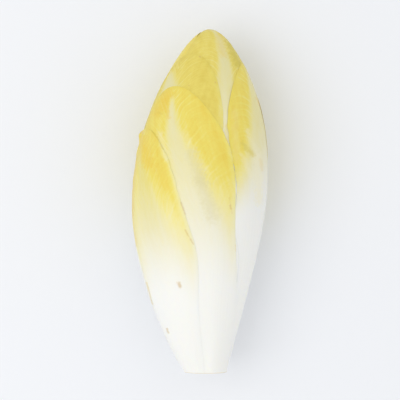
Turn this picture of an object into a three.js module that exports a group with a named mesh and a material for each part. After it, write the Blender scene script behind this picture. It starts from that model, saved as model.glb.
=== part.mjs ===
// Head of Belgian endive, cut from its root and lying on its side.
// Millimetres, +Z up. The head lies along +Y with its tip at +Y, its cut foot at -Y
// and a small flat spot underneath at z = 0. The origin is under the middle of the head.
//
// Every leaf is a blade of its own. The leaves lie in order from the outermost to the
// heart, each at a depth under one smooth outer form: the sum of what lies over it.
// So they nest as the real ones do, and never cross.
import * as THREE from "three";

// Outer form of the head
const HEAD_LENGTH = 139.5;
const HALF_WIDTH = 28;
const HALF_HEIGHT = 25;
const FOOT_LATITUDE = -0.8;
const HALF_AXIS = HEAD_LENGTH / (1 - FOOT_LATITUDE);
const MIDDLE = (HALF_AXIS * (1 + FOOT_LATITUDE)) / 2;
const CUT_PLANE = -HEAD_LENGTH / 2;
const FULLNESS = [0.95, 0.324, -0.377, -0.132];
const LEAN = [-0.9, 4.0, 5.8, -5.1];
const REST_CUT = 1.5;

// Blades
const EDGE_THICKNESS = 0.8;
const LAMINA_THICKNESS = 1.25;
const TIP_RIB = 0.25;
const EDGE_TAPER = 5;
const FOOT_EDGE_TAPER = 1.5;
const RIB_HALF_WIDTH_FOOT = 11;
const RIB_HALF_WIDTH_TIP = 3;
const RIDGE_SHARE = 0.3;
const OUTER_GAP = 0.42;
const INNER_GAP = 0.8;
const WIDE_LEAF_GAP = 0.6;
const COVER_REACH = 1.2;
const COVER_FADE = 12;
const COVER_FADE_FOOT = 6;
const COVER_FADE_RISE = 0.25;
const LIFT_REACH = 5;
const WAVE_LENGTH = 15;
const WAVE_HEIGHT = 0.35;
const FOOT_RIB_SHARE = 0.3;
const FOOT_RISE = 0.12;
const FOOT_SCALE = 100;
const LIFT_POWER = 2;

// Grid of a blade, in degrees to a step: across it, up its strip and over its rounded end
const COLUMN_STEP = 9;
const STRIP_STEP = 6.5;
const END_STEP = 6;
const LEAST_END_ROWS = 4;
const COLUMN_CROWDING = 1.08;

// Stem and heart
const STEM_TOP = -0.46;
const STEM_TO_HEART = 0.006;
const CORE_SIDES = 30;
const CORE_LOWEST = -0.95;
const STEM_ROWS = 7;
const STEM_EXTRA_DEPTH = 0.3;
const HEART_ROWS = 16;
const HEART_TOP = 0.992;
const HEART_EXTRA_DEPTH = 0.2;
const HEART_LEAVES = 5;
const HEART_FOLD = 0.9;
const HEART_FOLD_TURN = 0.35;
const HEART_FOLD_FADE = 0.3;

// Leaves from the outermost inwards. Angles are in degrees. azimuth is where the middle
// of the foot stands round the head, 0 upwards and 90 towards +X, and twist is how far the
// tip has turned from there. tip and shoulder are angles down from the head's tip, where
// the leaf ends and where it starts to round off. left and right are half-widths, and slant
// is how much longer the right side is, as a share of the length for each radian aside.
const OUTER_LEAVES = [
  {
    name: "leaf_01_left_outer", gap: OUTER_GAP, azimuth: -31, twist: -52, twistStart: -0.38, twistSpan: 1.2,
    tip: 61.5, shoulder: 78, roundness: 3.0, rib: 2.6, lift: 0.4,
    left: { half: 44, foot: 0.67, swell: 1.04 },
    right: { half: 34, foot: 0.46, swell: 0.59, waist: -0.082, waistAt: 0.67, waistSpan: 0.14 },
  },
  {
    name: "leaf_02_underside", gap: OUTER_GAP, azimuth: 168, twist: -54, twistStart: -0.4, twistSpan: 1.2,
    tip: 46, shoulder: 70, roundness: 2.4, rib: 2.6, lift: 0.4,
    left: { half: 38, foot: 0.68, swell: 1.35 }, right: { half: 56, foot: 0.57, swell: 1.35 },
  },
  {
    name: "leaf_03_front", gap: WIDE_LEAF_GAP, azimuth: 10, twist: -56, twistStart: -0.24, twistSpan: 1.1,
    tip: 46.3, shoulder: 66, roundness: 3.3, rib: 2.6, lift: 0.3,
    left: { half: 43, foot: 0.4, swell: 0.97 },
    right: { half: 43, foot: 1.16, swell: 0.8, waist: 0.335, waistAt: 0.61, waistSpan: 0.226 },
  },
  {
    name: "leaf_04_right", gap: WIDE_LEAF_GAP, azimuth: 88, twist: -20, twistStart: -0.4, twistSpan: 1.0,
    tip: 35.4, shoulder: 72, roundness: 4.4, slant: 0.087, rib: 2.6, lift: 0.3,
    left: { half: 42.8, foot: 0.5, swell: 1, waist: -0.19, waistAt: 0.79, waistSpan: 0.115 },
    right: { half: 60, foot: 0.42, swell: 1.32 },
  },
  {
    name: "leaf_05_back_left", gap: WIDE_LEAF_GAP, azimuth: -118, twist: -20, twistStart: -0.4,
    twistSpan: 1.2, tip: 43, shoulder: 60, roundness: 2.0, rib: 2.5, lift: 0.3,
    left: { half: 44, foot: 0.53, swell: 1.07 }, right: { half: 46, foot: 0.58, swell: 1.1 },
  },
  {
    name: "leaf_06_upper_left", azimuth: -38, twist: -12, twistStart: -0.1, twistSpan: 1.0,
    tip: 31.2, shoulder: 80, roundness: 3.3, slant: 0.15, rib: 2.4, lift: 0.3, foot: 134,
    left: { half: 44, foot: 0.4, swell: 0.8 }, right: { half: 54.5, foot: 0.4, swell: 0.8 },
  },
  {
    name: "leaf_07_back_right", gap: OUTER_GAP, azimuth: 146, twist: -12, twistStart: -0.3, twistSpan: 1.2,
    tip: 34, shoulder: 53, roundness: 2.0, rib: 2.4, lift: 0.3, foot: 132.5,
    left: { half: 46, foot: 0.4, swell: 0.8 }, right: { half: 46, foot: 0.4, swell: 0.8 },
  },
  {
    name: "leaf_08_tip", azimuth: 21, twist: 12, twistStart: 0.6, twistSpan: 0.45,
    tip: 1, shoulder: 45, roundness: 2.2, rib: 2.3, lift: 0.2, foot: 131,
    left: { half: 56, foot: 0.4, swell: 0.8 }, right: { half: 52, foot: 0.4, swell: 0.8 },
  },
];

const INNER_LEAVES = [
  {
    name: "leaf_09_inner_left", azimuth: -98, twist: -10, twistStart: -0.3, twistSpan: 1.2,
    tip: 12, shoulder: 46, roundness: 1.8, rib: 2.1, lift: 0.2, foot: 128.5,
    left: { half: 50, foot: 0.4, swell: 0.8 }, right: { half: 50, foot: 0.4, swell: 0.8 },
  },
  {
    name: "leaf_10_inner_right", azimuth: 92, twist: -6, twistStart: -0.3, twistSpan: 1.2,
    tip: 9, shoulder: 44, roundness: 1.8, rib: 2.0, lift: 0.2, foot: 126,
    left: { half: 52, foot: 0.4, swell: 0.8 }, right: { half: 52, foot: 0.4, swell: 0.8 },
  },
  {
    name: "leaf_11_inner_front", azimuth: -22, twist: -10, twistStart: -0.3, twistSpan: 1.2,
    tip: 20, shoulder: 48, roundness: 1.8, rib: 1.9, lift: 0.3, foot: 123,
    left: { half: 53, foot: 0.4, swell: 0.8 }, right: { half: 53, foot: 0.4, swell: 0.8 },
  },
  {
    name: "leaf_12_inner_back", azimuth: -172, twist: -10, twistStart: -0.3, twistSpan: 1.2,
    tip: 6, shoulder: 43, roundness: 1.8, rib: 1.8, lift: 0.2, foot: 120.5,
    left: { half: 54, foot: 0.4, swell: 0.8 }, right: { half: 54, foot: 0.4, swell: 0.8 },
  },
  {
    name: "leaf_13_heart_front", azimuth: 52, twist: -10, twistStart: -0.3, twistSpan: 1.2,
    tip: 26, shoulder: 50, roundness: 1.8, rib: 1.6, lift: 0.2, foot: 117,
    left: { half: 56, foot: 0.4, swell: 0.8 }, right: { half: 56, foot: 0.4, swell: 0.8 },
  },
  {
    name: "leaf_14_heart_back", azimuth: -130, twist: -10, twistStart: -0.3, twistSpan: 1.2,
    tip: 24, shoulder: 50, roundness: 1.8, rib: 1.5, lift: 0.2, foot: 114,
    left: { half: 56, foot: 0.4, swell: 0.8 }, right: { half: 56, foot: 0.4, swell: 0.8 },
  },
];

// Leaves with no foot angle run down to the cut; this angle is only the end of their outline
const CUT_FOOT = 143;
const CUT_OVERRUN = 12;
const BISECTIONS = 40;

const LEAF_COLOURS = { outer: 0xf0e6a8, inner: 0xead678 };
const LEAF_ROUGHNESS = 0.5;
const STEM_COLOUR = 0xefe9dc;
const STEM_ROUGHNESS = 0.65;

const { clamp, degToRad: radians, euclideanModulo: modulo, lerp } = THREE.MathUtils;

function smooth(t) {
  const x = clamp(t, 0, 1);
  return x * x * (3 - 2 * x);
}

function polynomial(coefficients, u) {
  return coefficients.reduceRight((sum, coefficient) => sum * u + coefficient, 0);
}

function slope(coefficients, u) {
  const derived = coefficients.slice(1).map((coefficient, power) => coefficient * (power + 1));
  return polynomial(derived, u);
}

// The outer form: a direction n, whose y is the latitude, is carried to a point on the form,
// then inwards along the form's normal by depth. The lowest part is cut flat to lie on.
function headPoint(n, depth) {
  const u = n.y;
  const full = polynomial(FULLNESS, u);
  const point = new THREE.Vector3(
    HALF_WIDTH * full * n.x + polynomial(LEAN, u),
    HALF_AXIS * u - MIDDLE,
    HALF_HEIGHT * full * n.z,
  );
  const along = u * full - slope(FULLNESS, u) * (1 - u * u) - (n.x * slope(LEAN, u)) / HALF_WIDTH;
  const normal = new THREE.Vector3(n.x / HALF_WIDTH, along / HALF_AXIS, n.z / HALF_HEIGHT).normalize();
  point.addScaledVector(normal, -depth);
  point.z = Math.max(point.z + HALF_HEIGHT - REST_CUT, 0);
  return point;
}

// Value at which the test turns false, on the way from one that passes it to one that fails
function turningPoint(passing, failing, test) {
  let from = passing;
  let to = failing;
  for (let step = 0; step < BISECTIONS; step += 1) {
    const middle = (from + to) / 2;
    if (test(middle)) {
      from = middle;
    } else {
      to = middle;
    }
  }
  return (from + to) / 2;
}

// A leaf's own angles: a down from the head's tip along its middle, b to the side of it.
// Above the head's equator both are arcs of great circles. Below it a is the angle down of
// the ring and b the arc along the ring, so that leaves stand side by side round the foot.
function turnAt(leaf, latitude) {
  return radians(leaf.azimuth + leaf.twist * smooth((latitude - leaf.twistStart) / leaf.twistSpan));
}

function slantAt(leaf, b) {
  return 1 - (leaf.slant ?? 0) * b;
}

function leafDirection(leaf, down, b) {
  const a = footAngle(leaf) - (footAngle(leaf) - down) / slantAt(leaf, b);
  if (a > Math.PI / 2) {
    const radius = Math.sin(a);
    const turn = turnAt(leaf, Math.cos(a)) + b / radius;
    return new THREE.Vector3(radius * Math.sin(turn), Math.cos(a), radius * Math.cos(turn));
  }
  const across = Math.sin(b);
  const latitude = Math.cos(a) * Math.cos(b);
  const out = Math.sin(a) * Math.cos(b);
  const turn = turnAt(leaf, latitude);
  const x = across * Math.cos(turn) + out * Math.sin(turn);
  const z = out * Math.cos(turn) - across * Math.sin(turn);
  return new THREE.Vector3(x, latitude, z);
}

function arcsTo(leaf, n) {
  const turn = turnAt(leaf, n.y);
  if (n.y < 0) {
    const aside = modulo(Math.atan2(n.x, n.z) - turn + Math.PI, 2 * Math.PI) - Math.PI;
    return { a: Math.acos(n.y), b: aside * Math.hypot(n.x, n.z) };
  }
  const across = n.x * Math.cos(turn) - n.z * Math.sin(turn);
  const out = n.x * Math.sin(turn) + n.z * Math.cos(turn);
  return { a: Math.atan2(out, n.y), b: Math.asin(clamp(across, -1, 1)) };
}

function leafAngles(leaf, n) {
  const { a, b } = arcsTo(leaf, n);
  return { a: footAngle(leaf) - (footAngle(leaf) - a) * slantAt(leaf, b), b };
}

function footAngle(leaf) {
  return radians(leaf.foot ?? CUT_FOOT);
}

function halfWidth(side, up) {
  const spread = side.foot + (1 - side.foot) * Math.sin((Math.PI / 2) * clamp(up, 0, 1)) ** side.swell;
  const waist = side.waist ? side.waist * Math.exp(-(((up - side.waistAt) / side.waistSpan) ** 2)) : 0;
  return radians(side.half) * (spread - waist);
}

// Distances to a blade's outline, positive inside it: to its margin, and with its foot too
function outlineDistances(leaf, a, b) {
  const side = b < 0 ? leaf.left : leaf.right;
  const shoulder = radians(leaf.shoulder);
  const end = leaf.foot ? footAngle(leaf) : radians(CUT_FOOT + CUT_OVERRUN);
  if (a < shoulder) {
    const half = radians(side.half);
    const up = (shoulder - a) / (shoulder - radians(leaf.tip));
    const reach = (Math.abs(b / half) ** leaf.roundness + up ** leaf.roundness) ** (1 / leaf.roundness);
    const margin = (1 - reach) * half * HALF_WIDTH;
    return { margin, all: margin };
  }
  const up = (footAngle(leaf) - a) / (footAngle(leaf) - shoulder);
  const margin = (halfWidth(side, up) - Math.abs(b)) * HALF_WIDTH;
  return { margin, all: Math.min(margin, (end - a) * FOOT_SCALE) };
}

function alongLeaf(leaf, a) {
  return clamp((footAngle(leaf) - a) / (footAngle(leaf) - radians(leaf.tip)), 0, 1);
}

function ribAt(leaf, a, b) {
  const along = alongLeaf(leaf, a);
  const half = lerp(RIB_HALF_WIDTH_FOOT, RIB_HALF_WIDTH_TIP, along);
  const sheath = lerp(FOOT_RIB_SHARE, 1, smooth(along / FOOT_RISE));
  const height = lerp(leaf.rib, TIP_RIB, along) * sheath;
  return height * Math.exp(-(((b * HALF_WIDTH) / half) ** 2));
}

function thickness(leaf, a, b, margin) {
  const taper = lerp(FOOT_EDGE_TAPER, EDGE_TAPER, smooth(alongLeaf(leaf, a) / FOOT_RISE));
  const inside = smooth(margin / taper);
  return lerp(EDGE_THICKNESS, LAMINA_THICKNESS, inside) + ribAt(leaf, a, b) * inside;
}

function coverOf(leaf, n) {
  const { a, b } = leafAngles(leaf, n);
  const distances = outlineDistances(leaf, a, b);
  const risen = smooth((n.y - FOOT_LATITUDE) / COVER_FADE_RISE);
  const fade = lerp(COVER_FADE_FOOT, COVER_FADE, risen);
  const cover = smooth(1 + (distances.all + COVER_REACH) / fade);
  const gap = leaf.gap ?? INNER_GAP;
  return { cover, layer: (thickness(leaf, a, b, distances.margin) + gap) * cover };
}

// What lies over a direction: its whole depth, and how much of it is left bare
function over(outerLeaves, n) {
  let depth = 0;
  let bare = 1;
  for (const leaf of outerLeaves) {
    const { cover, layer } = coverOf(leaf, n);
    depth += layer;
    bare *= 1 - cover;
  }
  return { depth, bare };
}

// Depths of a blade's two faces. A bare margin is lifted and waved, and a bare rib stands out.
function bladeDepths(leaf, outerLeaves, a, b) {
  const n = leafDirection(leaf, a, b);
  const { depth, bare } = over(outerLeaves, n);
  const { margin } = outlineDistances(leaf, a, b);
  const along = alongLeaf(leaf, a);
  const wave = Math.sin((2 * Math.PI * (a * HALF_AXIS + Math.abs(b) * HALF_WIDTH)) / WAVE_LENGTH);
  const flare = leaf.lift * along ** LIFT_POWER + WAVE_HEIGHT * along * (1 + wave) * 0.5;
  const lifted = flare * (1 - smooth(margin / LIFT_REACH)) * bare;
  const ridge = RIDGE_SHARE * ribAt(leaf, a, b) * bare;
  const outer = depth - lifted - ridge;
  const inner = depth - lifted + thickness(leaf, a, b, margin);
  return { n, outer, inner };
}

// Angle down the leaf at which one face of the blade meets the plane of the cut
function cutAngle(leaf, outerLeaves, b, face) {
  return turningPoint(radians(CUT_FOOT - CUT_OVERRUN), radians(CUT_FOOT + CUT_OVERRUN), (a) => {
    const depths = bladeDepths(leaf, outerLeaves, a, b);
    return headPoint(depths.n, depths[face]).y > CUT_PLANE;
  });
}

// Place of a grid point: s across from -1 to 1, row up the strip from the angle of its foot,
// then over the rounded end, where a square is laid onto a half disc so that no quad is lost
function gridAngles(leaf, grid, s, row, foot) {
  const side = s < 0 ? leaf.left : leaf.right;
  const shoulder = radians(leaf.shoulder);
  if (row <= grid.stripRows) {
    const a = lerp(foot, shoulder, row / grid.stripRows);
    const up = (footAngle(leaf) - a) / (footAngle(leaf) - shoulder);
    return { a, b: s * halfWidth(side, up) };
  }
  const q = (row - grid.stripRows) / grid.endRows;
  const x = s * Math.sqrt(1 - (q * q) / 2);
  const y = q * Math.sqrt(1 - (s * s) / 2);
  const radius = Math.hypot(x, y);
  const power = leaf.roundness;
  const fit = radius / (Math.abs(x) ** power + y ** power) ** (1 / power);
  return {
    a: shoulder - (shoulder - radians(leaf.tip)) * y * fit,
    b: x * fit * radians(side.half),
  };
}

// Angles down the leaf where the two faces end: in the plane of the cut, or on the stem
function feetAt(leaf, outerLeaves, s) {
  if (leaf.foot !== undefined) {
    return { outer: footAngle(leaf), inner: footAngle(leaf) };
  }
  const b = s * halfWidth(s < 0 ? leaf.left : leaf.right, 0);
  return {
    outer: cutAngle(leaf, outerLeaves, b, "outer"),
    inner: cutAngle(leaf, outerLeaves, b, "inner"),
  };
}

function leafGrid(leaf) {
  const foot = leaf.foot ?? CUT_FOOT;
  return {
    columns: 2 * Math.ceil((leaf.left.half + leaf.right.half) / COLUMN_STEP / 2),
    stripRows: Math.round((foot - leaf.shoulder) / STRIP_STEP),
    endRows: Math.max(Math.round((leaf.shoulder - leaf.tip) / END_STEP), LEAST_END_ROWS),
  };
}

function acrossAt(column, columns) {
  const s = (2 * column) / columns - 1;
  return Math.sign(s) * Math.abs(s) ** COLUMN_CROWDING;
}

// Faces of a rectangular grid folded over into a closed blade, both skins split alike
function bladeGeometry(outerSkin, innerSkin, columns, rows) {
  const positions = [...outerSkin, ...innerSkin].flatMap((point) => point.toArray());
  const index = [];
  const inner = outerSkin.length;
  const at = (row, column) => row * (columns + 1) + column;
  for (let row = 0; row < rows; row += 1) {
    for (let column = 0; column < columns; column += 1) {
      const a = at(row, column);
      const b = at(row, column + 1);
      const c = at(row + 1, column + 1);
      const d = at(row + 1, column);
      index.push(a, b, c, a, c, d);
      index.push(inner + a, inner + c, inner + b, inner + a, inner + d, inner + c);
    }
  }
  const rim = [];
  for (let column = 0; column < columns; column += 1) {
    rim.push(at(0, column));
  }
  for (let row = 0; row < rows; row += 1) {
    rim.push(at(row, columns));
  }
  for (let column = columns; column > 0; column -= 1) {
    rim.push(at(rows, column));
  }
  for (let row = rows; row > 0; row -= 1) {
    rim.push(at(row, 0));
  }
  rim.forEach((from, i) => {
    const to = rim[(i + 1) % rim.length];
    index.push(from, inner + from, inner + to, from, inner + to, to);
  });
  return closedGeometry(positions, index);
}

function closedGeometry(positions, index) {
  const geometry = new THREE.BufferGeometry();
  geometry.setAttribute("position", new THREE.Float32BufferAttribute(positions, 3));
  geometry.setIndex(index);
  geometry.computeVertexNormals();
  return geometry;
}

function leafMesh(leaf, outerLeaves, colour) {
  const grid = leafGrid(leaf);
  const rows = grid.stripRows + grid.endRows;
  const feet = Array.from({ length: grid.columns + 1 }, (_, column) =>
    feetAt(leaf, outerLeaves, acrossAt(column, grid.columns)));
  const skins = { outer: [], inner: [] };
  for (let row = 0; row <= rows; row += 1) {
    for (let column = 0; column <= grid.columns; column += 1) {
      const s = acrossAt(column, grid.columns);
      for (const face of ["outer", "inner"]) {
        const foot = row === 0 ? feet[column][face] : feet[column].outer;
        const { a, b } = gridAngles(leaf, grid, s, row, foot);
        const depths = bladeDepths(leaf, outerLeaves, a, b);
        skins[face].push(headPoint(depths.n, depths[face]));
      }
    }
  }
  const material = new THREE.MeshStandardMaterial({ color: colour, roughness: LEAF_ROUGHNESS, metalness: 0 });
  const mesh = new THREE.Mesh(bladeGeometry(skins.outer, skins.inner, grid.columns, rows), material);
  mesh.name = leaf.name;
  return mesh;
}

// A closed form of rings round the axis with a point at each end
function ringedGeometry(rings, first, last) {
  const positions = [first, ...rings.flat(), last].flatMap((point) => point.toArray());
  const index = [];
  const sides = rings[0].length;
  const at = (ring, side) => 1 + ring * sides + (side % sides);
  const end = 1 + rings.length * sides;
  for (let side = 0; side < sides; side += 1) {
    index.push(0, at(0, side + 1), at(0, side));
    index.push(end, at(rings.length - 1, side), at(rings.length - 1, side + 1));
    for (let ring = 0; ring < rings.length - 1; ring += 1) {
      index.push(at(ring, side), at(ring + 1, side + 1), at(ring + 1, side));
      index.push(at(ring, side), at(ring, side + 1), at(ring + 1, side + 1));
    }
  }
  return closedGeometry(positions, index);
}

function coreDirection(latitude, side) {
  const turn = (2 * Math.PI * side) / CORE_SIDES;
  const radius = Math.sqrt(1 - latitude * latitude);
  return new THREE.Vector3(radius * Math.sin(turn), latitude, radius * Math.cos(turn));
}

// Point inside all the leaves; extra is how much deeper the piece lies than they need
function corePoint(latitude, side, extra) {
  const n = coreDirection(latitude, side);
  return headPoint(n, over(ALL_LEAVES, n).depth + extra);
}

// The same, with the latitude chosen so that the point lies in the plane of the cut
function corePointAtCut(side, extra) {
  const latitude = turningPoint(0, CORE_LOWEST, (trial) => corePoint(trial, side, extra).y > CUT_PLANE);
  return corePoint(latitude, side, extra);
}

function ringCentre(ring) {
  const centre = new THREE.Vector3();
  ring.forEach((point) => centre.add(point));
  return centre.divideScalar(ring.length);
}

function ringOf(pointAt) {
  return Array.from({ length: CORE_SIDES }, (_, side) => pointAt(side));
}

// Solid core that the leaves grow from, white and bare only at the cut
function stemMesh() {
  const foot = ringOf((side) => corePointAtCut(side, STEM_EXTRA_DEPTH));
  const rings = [foot];
  for (let row = 1; row <= STEM_ROWS; row += 1) {
    const latitude = lerp(FOOT_LATITUDE, STEM_TOP, row / STEM_ROWS);
    rings.push(ringOf((side) => corePoint(latitude, side, STEM_EXTRA_DEPTH)));
  }
  const top = ringCentre(rings[rings.length - 1]);
  const material = new THREE.MeshStandardMaterial({
    color: STEM_COLOUR, roughness: STEM_ROUGHNESS, metalness: 0,
  });
  const mesh = new THREE.Mesh(ringedGeometry(rings, ringCentre(foot), top), material);
  mesh.name = "stem";
  return mesh;
}

// Tight inner bunch: small leaves folded into each other show as shallow steps round it
function heartFold(latitude, side) {
  const turn = side / CORE_SIDES + HEART_FOLD_TURN * latitude;
  const step = modulo(turn * HEART_LEAVES, 1);
  return HEART_EXTRA_DEPTH + HEART_FOLD * step * smooth((1 - latitude) / HEART_FOLD_FADE);
}

function heartMesh() {
  const rings = [];
  for (let row = 0; row <= HEART_ROWS; row += 1) {
    const start = STEM_TOP + STEM_TO_HEART;
    const latitude = start + (HEART_TOP - start) * Math.sin((Math.PI / 2) * (row / HEART_ROWS));
    rings.push(ringOf((side) => corePoint(latitude, side, heartFold(latitude, side))));
  }
  const material = new THREE.MeshStandardMaterial({
    color: LEAF_COLOURS.inner, roughness: LEAF_ROUGHNESS, metalness: 0,
  });
  const first = ringCentre(rings[0]);
  const last = corePoint(1, 0, HEART_EXTRA_DEPTH);
  const mesh = new THREE.Mesh(ringedGeometry(rings, first, last), material);
  mesh.name = "heart";
  return mesh;
}

const ALL_LEAVES = [...OUTER_LEAVES, ...INNER_LEAVES];

const head = new THREE.Group();
head.name = "belgian_endive";
ALL_LEAVES.forEach((leaf, i) => {
  const colour = OUTER_LEAVES.includes(leaf) ? LEAF_COLOURS.outer : LEAF_COLOURS.inner;
  head.add(leafMesh(leaf, ALL_LEAVES.slice(0, i), colour));
});
head.add(heartMesh());
head.add(stemMesh());

export default head;
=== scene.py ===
"""Looks of a cut head of Belgian endive that lies on its side.

A head is a spiral of leaves round a short stem. Each leaf is one closed blade. The blades nest:
each lies under one outer form at the depth of what lies over it, so that they never cross.
Sizes are in millimetres and angles in degrees, until a mesh is written in metres.
"""

import logging
import math
from collections.abc import Callable
from dataclasses import dataclass
from enum import Enum

import bmesh
import bpy
import numpy as np
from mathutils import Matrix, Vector
from numpy.polynomial import polynomial


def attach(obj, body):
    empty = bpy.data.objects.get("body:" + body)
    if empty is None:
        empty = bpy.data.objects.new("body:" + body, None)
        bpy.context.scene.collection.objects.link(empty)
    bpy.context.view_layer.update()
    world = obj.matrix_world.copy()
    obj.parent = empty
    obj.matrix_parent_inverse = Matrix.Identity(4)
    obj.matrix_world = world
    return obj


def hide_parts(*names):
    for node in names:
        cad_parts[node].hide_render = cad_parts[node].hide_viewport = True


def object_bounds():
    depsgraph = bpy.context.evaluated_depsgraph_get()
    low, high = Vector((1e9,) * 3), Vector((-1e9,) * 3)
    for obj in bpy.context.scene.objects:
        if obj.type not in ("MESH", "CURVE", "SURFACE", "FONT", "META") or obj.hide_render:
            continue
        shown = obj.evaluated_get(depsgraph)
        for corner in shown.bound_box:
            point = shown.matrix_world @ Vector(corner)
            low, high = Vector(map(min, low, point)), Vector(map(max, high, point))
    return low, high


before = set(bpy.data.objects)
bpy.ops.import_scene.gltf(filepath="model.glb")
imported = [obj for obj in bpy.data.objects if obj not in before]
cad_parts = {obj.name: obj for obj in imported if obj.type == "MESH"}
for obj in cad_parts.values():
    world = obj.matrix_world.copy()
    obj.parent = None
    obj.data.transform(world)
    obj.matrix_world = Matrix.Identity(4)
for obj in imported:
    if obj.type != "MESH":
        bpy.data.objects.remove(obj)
CAD_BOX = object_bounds()

LOG = logging.getLogger("endive")
MM = 0.001
IN_MM = (1.0 / MM, 1.0 / MM, 1.0 / MM)
BODY = "root"
TURN = 2.0 * math.pi
HALVINGS = 36
RIPPLE_WAVES = 7
RIPPLE_STRETCH = (0.7, 1.5)

Array = np.ndarray
BMesh = bmesh.types.BMesh
Mesh = bpy.types.Mesh
Piece = bpy.types.Object
Material = bpy.types.Material
Tree = bpy.types.ShaderNodeTree
Socket = bpy.types.NodeSocket
Sockets = bpy.types.bpy_prop_collection
Colour = tuple[float, float, float, float]
Place = tuple[float, float]


class Slot(Enum):
    """Material slots of the record."""

    OUTER_LEAF = "outer_leaf"
    UPPER_LEAF = "upper_leaf"
    INNER_LEAF = "inner_leaf"
    HEART = "heart"
    STEM = "stem"


def smooth(t: Array) -> Array:
    """Returns 0 up to t = 0, 1 from t = 1, and an S-shaped rise between them."""
    x = np.clip(t, 0.0, 1.0)
    return x * x * (3.0 - 2.0 * x)


def between(low: Array, high: Array, share: Array) -> Array:
    """Returns the value that lies a share of the way from low to high."""
    return low + (high - low) * share


def turning_point(passing: Array, failing: Array, test: Callable[[Array], Array]) -> Array:
    """Finds where a test turns false, for many places at once.

    Args:
        passing: Values that pass the test.
        failing: Values that fail it.
        test: Function from an array of values to an array of truths.

    Returns:
        The values between them at which the test turns.
    """
    start, stop = passing.copy(), failing.copy()
    for _ in range(HALVINGS):
        middle = (start + stop) / 2.0
        passes = test(middle)
        start = np.where(passes, middle, start)
        stop = np.where(passes, stop, middle)
    return (start + stop) / 2.0


def ripple(x: Array, y: Array, length: float, seed: int) -> Array:
    """Sums a few plane waves into a smooth uneven pattern.

    Args:
        x: First coordinate of each point.
        y: Second coordinate of each point.
        length: Usual distance between two crests.
        seed: Picks the pattern.

    Returns:
        Values mostly from -1 to 1.
    """
    draw = np.random.default_rng(seed)
    total = np.zeros_like(x)
    for _ in range(RIPPLE_WAVES):
        turn, phase = draw.uniform(0.0, TURN, 2)
        pace = TURN / (length * draw.uniform(*RIPPLE_STRETCH))
        total += np.sin(pace * (x * math.cos(turn) + y * math.sin(turn)) + phase)
    return total / math.sqrt(2.0 * RIPPLE_WAVES)


@dataclass(frozen=True)
class HeadForm:
    """Outer form of the whole head: long, fuller above its foot, leaning a little, flat underneath."""

    length: float = 139.5
    half_width: float = 28.0
    half_height: float = 25.0
    foot_latitude: float = -0.8
    fullness: tuple[float, ...] = (0.95, 0.324, -0.377, -0.132)
    lean: tuple[float, ...] = (-0.9, 4.0, 5.8, -5.1)
    rest_cut: float = 1.5

    @property
    def half_axis(self) -> float:
        """Half the length that the form would have with its foot closed."""
        return self.length / (1.0 - self.foot_latitude)

    @property
    def cut_plane(self) -> float:
        """Place of the cut foot along the head."""
        return -self.length / 2.0

    def point(self, n: Array, depth: Array) -> Array:
        """Carries directions to points under the outer form.

        Args:
            n: Unit directions, one a row, whose middle number is the latitude.
            depth: How far each point lies inwards from the form.

        Returns:
            Points, one a row.
        """
        u = n[:, 1]
        full = polynomial.polyval(u, self.fullness)
        full_slope = polynomial.polyval(u, polynomial.polyder(self.fullness))
        lean_slope = polynomial.polyval(u, polynomial.polyder(self.lean))
        middle = self.half_axis * (1.0 + self.foot_latitude) / 2.0
        points = np.column_stack((
            self.half_width * full * n[:, 0] + polynomial.polyval(u, self.lean),
            self.half_axis * u - middle,
            self.half_height * full * n[:, 2],
        ))
        along = u * full - full_slope * (1.0 - u * u) - n[:, 0] * lean_slope / self.half_width
        across, up = n[:, 0] / self.half_width, n[:, 2] / self.half_height
        normals = np.column_stack((across, along / self.half_axis, up))
        normals /= np.linalg.norm(normals, axis=1)[:, None]
        points -= normals * depth[:, None]
        points[:, 2] = np.maximum(points[:, 2] + self.half_height - self.rest_cut, 0.0)
        return points


@dataclass(frozen=True)
class Side:
    """One side of a leaf's outline, as half-widths in degrees round the head."""

    half: float
    foot: float = 0.4
    swell: float = 0.8
    waist: float = 0.0
    waist_at: float = 0.65
    waist_span: float = 0.15

    def width(self, up: Array) -> Array:
        """Measures the side.

        Args:
            up: Shares up the strip from the foot to the shoulder.

        Returns:
            Half-widths in radians.
        """
        swelling = np.sin(math.pi / 2.0 * np.clip(up, 0.0, 1.0)) ** self.swell
        waist = self.waist * np.exp(-(((up - self.waist_at) / self.waist_span) ** 2))
        return math.radians(self.half) * (self.foot + (1.0 - self.foot) * swelling - waist)


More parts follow.
